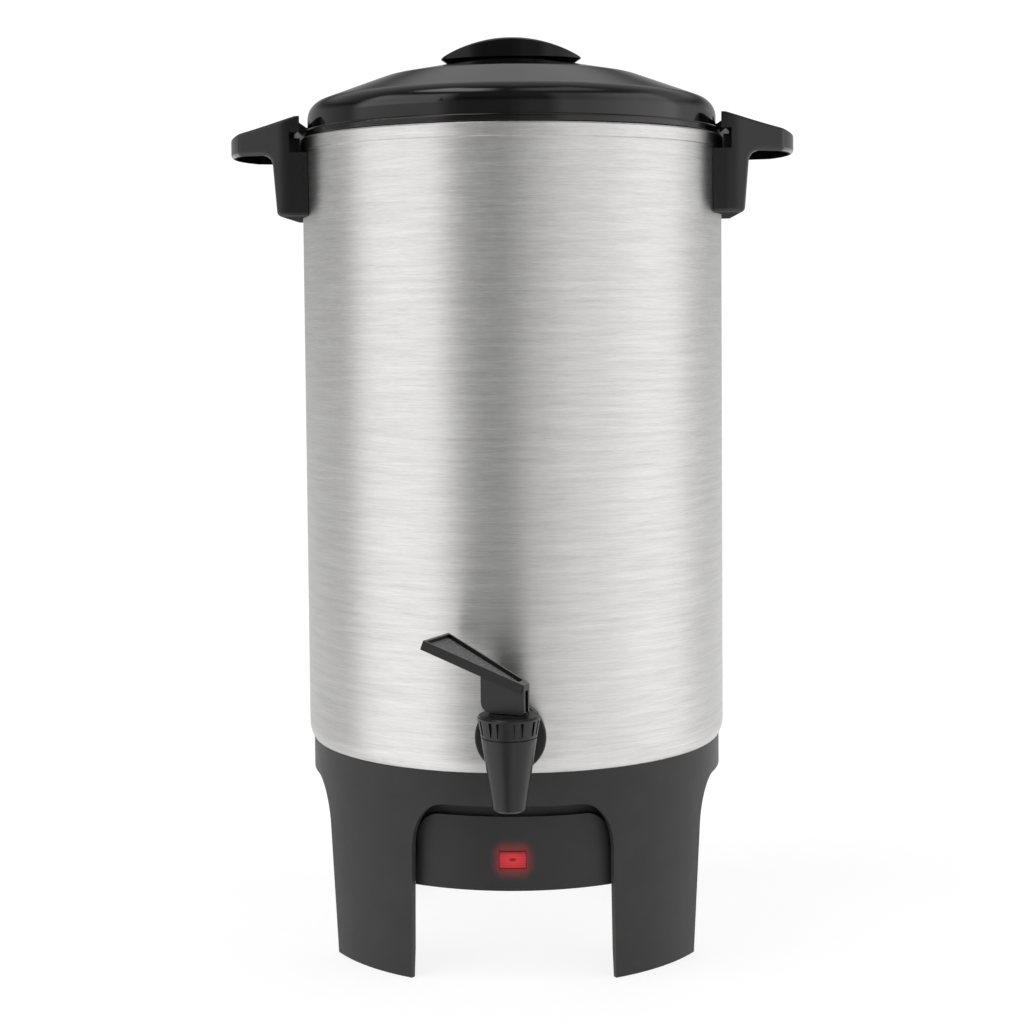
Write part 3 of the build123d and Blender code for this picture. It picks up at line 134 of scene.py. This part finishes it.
class Look(Tree):
    """A material, with the parts that several of them share."""

    def __init__(self, name):
        self.name = name
        self.material = bpy.data.materials.new(name)
        self.material.use_nodes = True
        super().__init__(self.material.node_tree)
        self.shader = self.tree.nodes["Principled BSDF"]
        self.output = self.tree.nodes["Material Output"]

    def set(self, **values):
        for key, value in values.items():
            self.shader.inputs[key.replace("_", " ")].default_value = value

    def feed(self, name, source):
        self.link(source, self.shader.inputs[name])

    def coords(self, scale=(1, 1, 1)):
        """Object coordinates, in metres times the scale."""
        place = self.node("ShaderNodeTexCoord")
        mapping = self.node("ShaderNodeMapping", Scale=scale)
        self.link(place.outputs["Object"], mapping.inputs["Vector"])
        return mapping.outputs["Vector"]

    def object_axes(self):
        return self.split(self.node("ShaderNodeTexCoord").outputs["Object"])

    def noise(self, scale, detail=2.0, stretch=(1, 1, 1), roughness=0.5):
        made = self.node("ShaderNodeTexNoise", Scale=scale, Detail=detail, Roughness=roughness)
        self.link(self.coords(stretch), made.inputs["Vector"])
        return made.outputs["Fac"]

    def mix(self, factor, first, second):
        """Colour between two, by a factor."""
        made = self.node("ShaderNodeMix", data_type="RGBA")
        self.link(factor, made.inputs["Factor"])
        for value, socket in ((first, made.inputs["A"]), (second, made.inputs["B"])):
            if isinstance(value, tuple):
                socket.default_value = (*value, 1)
            else:
                self.link(value, socket)
        return made.outputs["Result"]

    def mottle(self, color, spread):
        """A colour that varies slightly from place to place."""
        factor = self.ease(self.noise(MOTTLE_SCALE), *NOISE_SPAN, 0, 1)
        return self.mix(factor, shade(color, 1 - spread), shade(color, 1 + spread))

    def gloss(self, level):
        """A roughness that varies slightly from place to place."""
        low, high = level * (1 - GLOSS_SPREAD), level * (1 + GLOSS_SPREAD)
        self.feed("Roughness", self.ease(self.noise(GLOSS_SCALE, 3), *NOISE_SPAN, low, high))

    def bump(self, height, strength, distance=GRAIN_DEPTH):
        made = self.node("ShaderNodeBump", Strength=strength, Distance=distance)
        self.link(height, made.inputs["Height"])
        self.feed("Normal", made.outputs["Normal"])

    def facing_up(self, start, end):
        """0 to 1 while the surface's upward component goes from start to end."""
        normal = self.split(self.node("ShaderNodeNewGeometry").outputs["Normal"])
        return self.ease(normal["Z"], start, end, 0, 1)

    def squared(self, value, size):
        """Square of a distance as a part of a size."""
        share = self.math("DIVIDE", self.math("ABSOLUTE", value), size)
        return self.math("POWER", share, 2.0)


def grey(level):
    return (level, level, level)


def shade(color, factor):
    return tuple(channel * factor for channel in color)


# ---------------------------------------------------------------- plastics, rubber and plain metals


def plastic(name, color, gloss, grain_scale, grain, shine=0.5):
    """Moulded plastic: slight mottling, and grain in the bump and in the roughness."""
    made = Look(name)
    made.feed("Base Color", made.mottle(color, TINT_SPREAD))
    made.gloss(gloss)
    made.set(Specular_IOR_Level=shine)
    made.bump(made.noise(grain_scale, 3), grain)
    return made


STREAK_TINT = (0.92, 1.05)
STREAK_GLOSS = (0.85, 1.2)
STREAK_DETAIL = 4
STREAK_ROUGHNESS = 0.65


def metal(name, color, roughness, streak_scale, strength, stretch=(1, 1, 1)):
    """Bare metal with fine streaks."""
    made = Look(name)
    made.set(Metallic=1.0)
    streaks = made.noise(streak_scale, STREAK_DETAIL, stretch, STREAK_ROUGHNESS)
    dark, light = (shade(color, factor) for factor in STREAK_TINT)
    made.feed("Base Color", made.mix(made.ease(streaks, *NOISE_SPAN, 0, 1), dark, light))
    low, high = (roughness * factor for factor in STREAK_GLOSS)
    made.feed("Roughness", made.ease(streaks, *NOISE_SPAN, low, high))
    made.bump(streaks, strength)
    return made


# ---------------------------------------------------------------- brushed steel of the tank
STEEL_DARK = (0.49, 0.485, 0.48)
STEEL_LIGHT = (0.72, 0.715, 0.71)
STEEL_GLOSS = (0.38, 0.5)
STEEL_BUMP = 0.35
STEEL_BUMP_DEPTH = 0.00004
STEEL_NOISE_ROUGHNESS = 0.6
# Each layer of streaks: its scale round the tank (per radian), its scale up it (per metre), detail.
LONG_STREAKS = (7, 1500, 3)
SHORT_STREAKS = (22, 2600, 2)
WIDE_STREAKS = (2.5, 420, 2)
LONG_SHARE, SHORT_SHARE = 0.55, 0.45
FINE_SHARE, WIDE_SHARE = 0.7, 0.3


def brushed_steel():
    """Sheet steel brushed round the tank: short fine streaks that follow the wall."""
    made = Look("tank_steel")
    made.set(Metallic=1.0, Anisotropic=0.85, Anisotropic_Rotation=0.25)
    axes = made.object_axes()
    turn = made.azimuth(axes)

    def streaks(round_scale, up_scale, detail):
        spot = made.node("ShaderNodeCombineXYZ")
        made.link(made.product(turn, round_scale), spot.inputs["X"])
        made.link(made.product(axes["Z"], up_scale), spot.inputs["Y"])
        noise = made.node(
            "ShaderNodeTexNoise", Scale=1.0, Detail=detail, Roughness=STEEL_NOISE_ROUGHNESS
        )
        made.link(spot.outputs["Vector"], noise.inputs["Vector"])
        return noise.outputs["Fac"]

    long, short = streaks(*LONG_STREAKS), streaks(*SHORT_STREAKS)
    fine = made.total(made.product(long, LONG_SHARE), made.product(short, SHORT_SHARE))
    wide = made.product(streaks(*WIDE_STREAKS), WIDE_SHARE)
    tone = made.total(made.product(fine, FINE_SHARE), wide)
    made.feed("Base Color", made.mix(made.ease(tone, *FINE_SPAN, 0, 1), STEEL_DARK, STEEL_LIGHT))
    made.feed("Roughness", made.ease(fine, *FINE_SPAN, *STEEL_GLOSS))
    made.bump(fine, STEEL_BUMP, STEEL_BUMP_DEPTH)
    tangent = made.node("ShaderNodeTangent", direction_type="RADIAL", axis="Z")
    made.feed("Tangent", tangent.outputs["Tangent"])
    return made


# ---------------------------------------------------------------- handles and lever
HANDLE_COLOR = grey(0.006)
HANDLE_SPREAD = 1 / 12
HANDLE_GLOSS = 0.2
HANDLE_PAINTED_UNDERSIDE_GREY = grey(0.06)
HANDLE_PAINTED_UNDERSIDE_FACING = (-0.75, -0.97)
HANDLE_SHINE = (0.5, 0.0)  # on the sides, underneath
HANDLE_GRAIN_SCALE, HANDLE_GRAIN = 1300, 0.08


def handle_material():
    """Handle plastic with a painted underside: faces that point down lose their reflection,
    standing in for the shade there, and take a flat grey of their own.
    """
    made = Look("handle_plastic")
    # painted shade underneath: faces that point down take their own grey and no reflection
    painted_underside = made.facing_up(*HANDLE_PAINTED_UNDERSIDE_FACING)
    side = made.mottle(HANDLE_COLOR, HANDLE_SPREAD)
    made.feed("Base Color", made.mix(painted_underside, side, HANDLE_PAINTED_UNDERSIDE_GREY))
    made.gloss(HANDLE_GLOSS)
    made.feed("Specular IOR Level", made.ease(painted_underside, 0, 1, *HANDLE_SHINE))
    made.bump(made.noise(HANDLE_GRAIN_SCALE, 3), HANDLE_GRAIN)
    return made


LEVER_COLOR = grey(0.010)
LEVER_GLOSS = (0.32, 0.6)  # on the sides, on the tray
LEVER_SHINE = 0.32
LEVER_GRAIN_SCALE, LEVER_GRAIN = 1300, 0.1
TOP_LIGHT_FACING = (0.55, 0.75)
PEBBLE_SCALE = 1100
TOP_LIT_PEBBLE_DARK, TOP_LIT_PEBBLE_LIGHT = grey(0.12), grey(0.24)


def lever_material():
    """Lever plastic, pebbled on the finger tray that faces up; the tray's lighter grey is painted
    top light.
    """
    made = Look("lever_plastic")
    # the pebbles and rougher tray are real; their lighter grey on faces that point up is painted
    # top light
    tray_and_top_light = made.facing_up(*TOP_LIGHT_FACING)
    spots = made.ease(made.noise(PEBBLE_SCALE), *FINE_SPAN, 0, 1)
    top_lit_pebbles = made.mix(spots, TOP_LIT_PEBBLE_DARK, TOP_LIT_PEBBLE_LIGHT)
    made.feed("Base Color", made.mix(tray_and_top_light, LEVER_COLOR, top_lit_pebbles))
    made.feed("Roughness", made.ease(tray_and_top_light, 0, 1, *LEVER_GLOSS))
    made.set(Specular_IOR_Level=LEVER_SHINE)
    made.bump(made.noise(LEVER_GRAIN_SCALE, 3), LEVER_GRAIN)
    return made


# ---------------------------------------------------------------- lamp, and the red glow painted on the panel round it
PAINTED_GLOW_REACH = (0.001, 0.0085)
PAINTED_GLOW_COLOR = (0.15, 0.003, 0.005)
LAMP_MARK = (0.0016, 0.0007)
LAMP_MARK_EDGE = (0.4, 1.8)
LAMP_MARK_COLOR = (0.16, 0.0, 0.0)
LENS_TOP_SHADE_EDGE = (0.6, 0.9)
LENS_TOP_SHADE_COLOR = (0.12, 0.006, 0.008)
LENS_EDGE_COLOR = (0.30, 0.006, 0.008)
LENS_MIDDLE_COLOR = (0.60, 0.012, 0.02)
LENS_FADE = (0.15, 1.25)
LENS_RIB_COLOR = (1.0, 0.2, 0.2)
LENS_RIB_SCALE = 300.0
LENS_RIB_SHARE = 0.06
LENS_STRENGTH = 0.45
LENS_ROUGHNESS = 0.22


def lamp_offset(made):
    """How far a point lies sideways and up from the middle of the lamp's window."""
    low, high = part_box("indicator_lens")
    axes = made.object_axes()
    across = made.math("SUBTRACT", axes["X"], (low[0] + high[0]) / 2)
    up = made.math("SUBTRACT", axes["Z"], (low[2] + high[2]) / 2)
    return across, up, (high[0] - low[0]) / 2, (high[2] - low[2]) / 2


def lens_material():
    """Red window lit from behind: bright in the middle, with the bulb's dark seat in it, and a
    painted shadow of its recess along its top edge.
    """
    made = Look("red_lens")
    across, up, half_w, half_h = lamp_offset(made)
    away = made.math("SQRT", made.total(made.squared(across, half_w), made.squared(up, half_h)))
    glow = made.mix(made.ease(away, *LENS_FADE, 1, 0), LENS_EDGE_COLOR, LENS_MIDDLE_COLOR)
    ribs = made.node(
        "ShaderNodeTexWave", Scale=LENS_RIB_SCALE, wave_type="BANDS", bands_direction="Z"
    )
    made.link(made.coords(), ribs.inputs["Vector"])
    rib = made.ease(ribs.outputs["Fac"], 0, 1, 0, LENS_RIB_SHARE)
    seen = made.mix(rib, glow, LENS_RIB_COLOR)
    spot = made.total(made.squared(across, LAMP_MARK[0]), made.squared(up, LAMP_MARK[1]))
    seen = made.mix(made.ease(spot, *LAMP_MARK_EDGE, 1, 0), seen, LAMP_MARK_COLOR)
    # painted shade: the recess's shadow, darkening the top edge of the lens
    painted_top_shade = made.ease(made.math("DIVIDE", up, half_h), *LENS_TOP_SHADE_EDGE, 0, 1)
    seen = made.mix(painted_top_shade, seen, LENS_TOP_SHADE_COLOR)
    made.feed("Base Color", seen)
    made.feed("Emission Color", seen)
    made.set(Emission_Strength=LENS_STRENGTH, Roughness=LENS_ROUGHNESS)
    return made


def panel_material():
    """Panel plastic with the lamp's red glow painted on it round its window, as emission."""
    made = plastic("panel_plastic", grey(0.034), 0.48, 1500, 0.16, shine=0.26)
    across, up, half_w, half_h = lamp_offset(made)

    def past(offset, inner):
        """Square of how far an offset goes past an inner limit."""
        over = made.math("SUBTRACT", made.math("ABSOLUTE", offset), inner)
        return made.math("POWER", made.math("MAXIMUM", over, 0.0), 2.0)

    # painted glow: red emission on the panel that fades out round the lamp's window
    away = made.math("SQRT", made.total(past(across, half_w / 2), past(up, half_h / 2)))
    painted_glow = made.ease(away, *PAINTED_GLOW_REACH, 1, 0, "SMOOTHERSTEP")
    made.feed("Emission Color", made.mix(painted_glow, grey(0.0), PAINTED_GLOW_COLOR))
    made.set(Emission_Strength=1.0)
    return made


# ---------------------------------------------------------------- the materials on the CAD nodes
made_looks = (
    brushed_steel(),
    handle_material(),
    lever_material(),
    lens_material(),
    panel_material(),
    plastic("lid_plastic", grey(0.0028), gloss=0.09, grain_scale=500, grain=0.02),
    plastic("knob_plastic", grey(0.0022), gloss=0.09, grain_scale=500, grain=0.02, shine=0.28),
    plastic("base_plastic", grey(0.05), gloss=0.46, grain_scale=1500, grain=0.16, shine=0.15),
    plastic("tap_plastic", grey(0.010), gloss=0.30, grain_scale=1300, grain=0.06, shine=0.32),
    plastic("control_plastic", (0.05, 0.04, 0.03), gloss=0.6, grain_scale=900, grain=0.3),
    plastic("bulb_glass", (0.8, 0.4, 0.2), gloss=0.1, grain_scale=300, grain=0.01),
    plastic("lead_rubber", grey(0.02), gloss=0.6, grain_scale=900, grain=0.2),
    plastic("seal_rubber", grey(0.018), gloss=0.6, grain_scale=900, grain=0.2),
    metal("plain_steel", grey(0.55), roughness=0.35, streak_scale=500, strength=0.2),
    metal("cast_aluminium", grey(0.42), roughness=0.5, streak_scale=700, strength=0.5),
    metal("brass_pins", (0.75, 0.56, 0.25), roughness=0.25, streak_scale=500, strength=0.1),
    metal(
        "pump_aluminium", grey(0.72), roughness=0.3, streak_scale=120, strength=0.2,
        stretch=(0.3, 0.3, 6),
    ),
)
looks = {made.name: made.material for made in made_looks}
slots = {part["node"]: part["material_slot"] for part in frame["record"]["subparts"]}

for name, node in nodes.items():
    node.data.materials.clear()
    node.data.materials.append(looks[slots[name]])

# ---------------------------------------------------------------- rounded edges on the CAD nodes
EDGE_ANGLE = math.radians(35)
EDGE_SEGMENTS = 2
EDGE_ROUND = {
    "base_shell": 0.0009,
    "inner_housing": 0.0006,
    "tap_lever": 0.0004,
    "tap_bonnet": 0.00025,
    "handle_right": 0.0004,
    "handle_left": 0.0004,
}
for name, width in EDGE_ROUND.items():
    bevel = nodes[name].modifiers.new("edge", "BEVEL")
    bevel.width = width
    bevel.segments = EDGE_SEGMENTS
    bevel.limit_method = "ANGLE"
    bevel.angle_limit = EDGE_ANGLE

# ---------------------------------------------------------------- floor and backdrop
FLOOR_GLOW = 0.80  # part of the floor's white that doesn't take shadow
FLOOR_SHADE = 0.32  # part that does
FLOOR_BOUNCE = 0.95  # its white to all rays but the camera's
FLOOR_ROUGHNESS = 0.9
STAGE_HALF = 4.0
STAGE_FRONT = -4.0
STAGE_BACK = 1.6
STAGE_HEIGHT = 3.5
STAGE_BEND = 0.8
STAGE_BEND_STEPS = 12


def stage_material():
    """White to the camera with a faint shadow; plain white to the light that falls on it."""
    made = Look("stage_white")
    made.set(Roughness=FLOOR_ROUGHNESS, Specular_IOR_Level=0.0)
    seen = made.node("ShaderNodeLightPath").outputs["Is Camera Ray"]
    made.feed("Base Color", made.mix(seen, grey(FLOOR_BOUNCE), grey(FLOOR_SHADE)))
    glow = made.node("ShaderNodeEmission")
    made.link(made.product(seen, FLOOR_GLOW), glow.inputs["Strength"])
    both = made.node("ShaderNodeAddShader")
    made.link(made.shader.outputs["BSDF"], both.inputs[0])
    made.link(glow.outputs["Emission"], both.inputs[1])
    made.link(both.outputs["Shader"], made.output.inputs["Surface"])
    return made.material


def make_stage():
    """A floor that curves up into a backdrop."""
    rows = [(STAGE_FRONT, 0.0)]
    for step in range(STAGE_BEND_STEPS + 1):
        turn = math.pi / 2 * step / STAGE_BEND_STEPS
        back = STAGE_BACK - STAGE_BEND + STAGE_BEND * math.sin(turn)
        rows.append((back, STAGE_BEND - STAGE_BEND * math.cos(turn)))
    rows.append((STAGE_BACK, STAGE_HEIGHT))
    verts = [(x, y, z) for y, z in rows for x in (-STAGE_HALF, STAGE_HALF)]
    faces = [(2 * i, 2 * i + 1, 2 * i + 3, 2 * i + 2) for i in range(len(rows) - 1)]
    mesh = bpy.data.meshes.new("stage")
    mesh.from_pydata(verts, [], faces)
    mesh.polygons.foreach_set("use_smooth", [True] * len(mesh.polygons))
    floor = bpy.data.objects.new("stage", mesh)
    scene.collection.objects.link(floor)
    floor.data.materials.append(stage_material())
    floor.visible_glossy = False


# ---------------------------------------------------------------- light, drawn on the world
# Angles are in degrees: turn goes round the object, 0 in front and positive to the viewer's right,
# and rise goes up from the horizon. A BOX is its centre, half width, soft edge and level. An EASE
# is where it starts and ends, and the levels it goes between.
LEFT_BOX = (-65, 29, 6, 0.47)
LEFT_RISE_EASE = (4, 16, 1.2, 3.0)
RIGHT_BOX = (66, 40, 6, 0.22)
RIGHT_REAR_BOX = (88, 30, 20, 0.22)
RIGHT_RISE_EASE = (-10, 2, 0.1, 2.6)
SIDES_TOP_EASE = (40, 50, 1.0, 0.0)
WALL_FRONT_EASE = (4, 12, 0.80, 0.98)
WALL_DARK_BOX = (-12, 16, 6, -0.31)
WALL_REAR_EASE = (90, 140, 0.0, -0.08)
WALL_LOW_EASE = (-8, 6, 1.35, 0.45)
WALL_HIGH_EASE = (9, 24, 1.0, 0.25)
TOP_EASE = (20, 32, 0.0, 0.38)
TOP_REAR_EASE = (90, 150, 0.3, 1.0)
OVER_LEFT_BOX = (-55, 35, 15, 2.8)
OVER_RIGHT_BOX = (50, 40, 15, 0.8)
OVER_RISE_BOX = (66, 8, 3, 1.0)


class Sky(Tree):
    """Soft boxes and gradients on the world, by turn and rise."""

    def step(self, source, start, end, low, high):
        return self.ease(source, start, end, low, high, "SMOOTHSTEP")

    def box(self, angle, centre, half, soft, level):
        """A level that holds round a centre and fades out at its edges."""
        away = self.math("ABSOLUTE", self.math("SUBTRACT", angle, centre))
        return self.step(away, half - soft, half + soft, level, 0.0)


def make_world():
    world = bpy.data.worlds.new("world")
    world.use_nodes = True
    sky = Sky(world.node_tree)
    axes = sky.split(sky.node("ShaderNodeTexCoord").outputs["Generated"])
    turn = sky.product(sky.azimuth(axes), math.degrees(1))
    rise = sky.product(sky.math("ARCSINE", axes["Z"]), math.degrees(1))

    left = sky.product(sky.box(turn, *LEFT_BOX), sky.step(rise, *LEFT_RISE_EASE))
    right = sky.total(sky.box(turn, *RIGHT_BOX), sky.box(turn, *RIGHT_REAR_BOX))
    right = sky.product(right, sky.step(rise, *RIGHT_RISE_EASE))
    sides = sky.product(sky.total(left, right), sky.step(rise, *SIDES_TOP_EASE))

    walls = sky.total(sky.step(turn, *WALL_FRONT_EASE), sky.box(turn, *WALL_DARK_BOX))
    walls = sky.total(walls, sky.step(turn, *WALL_REAR_EASE))
    walls = sky.product(walls, sky.step(rise, *WALL_LOW_EASE), sky.step(rise, *WALL_HIGH_EASE))

    aside = sky.math("ABSOLUTE", turn)
    top = sky.product(sky.step(rise, *TOP_EASE), sky.step(aside, *TOP_REAR_EASE))
    over = sky.total(sky.box(turn, *OVER_LEFT_BOX), sky.box(turn, *OVER_RIGHT_BOX))
    over = sky.product(over, sky.box(rise, *OVER_RISE_BOX))

    light = sky.total(walls, sides, top, over)
    seen = sky.node("ShaderNodeLightPath").outputs["Is Camera Ray"]
    level = sky.total(sky.product(light, sky.math("SUBTRACT", 1.0, seen)), seen)
    background = sky.tree.nodes["Background"]
    background.inputs["Color"].default_value = (1, 1, 1, 1)
    sky.link(level, background.inputs["Strength"])
    scene.world = world


make_stage()
make_world()

scene.view_settings.view_transform = "Standard"
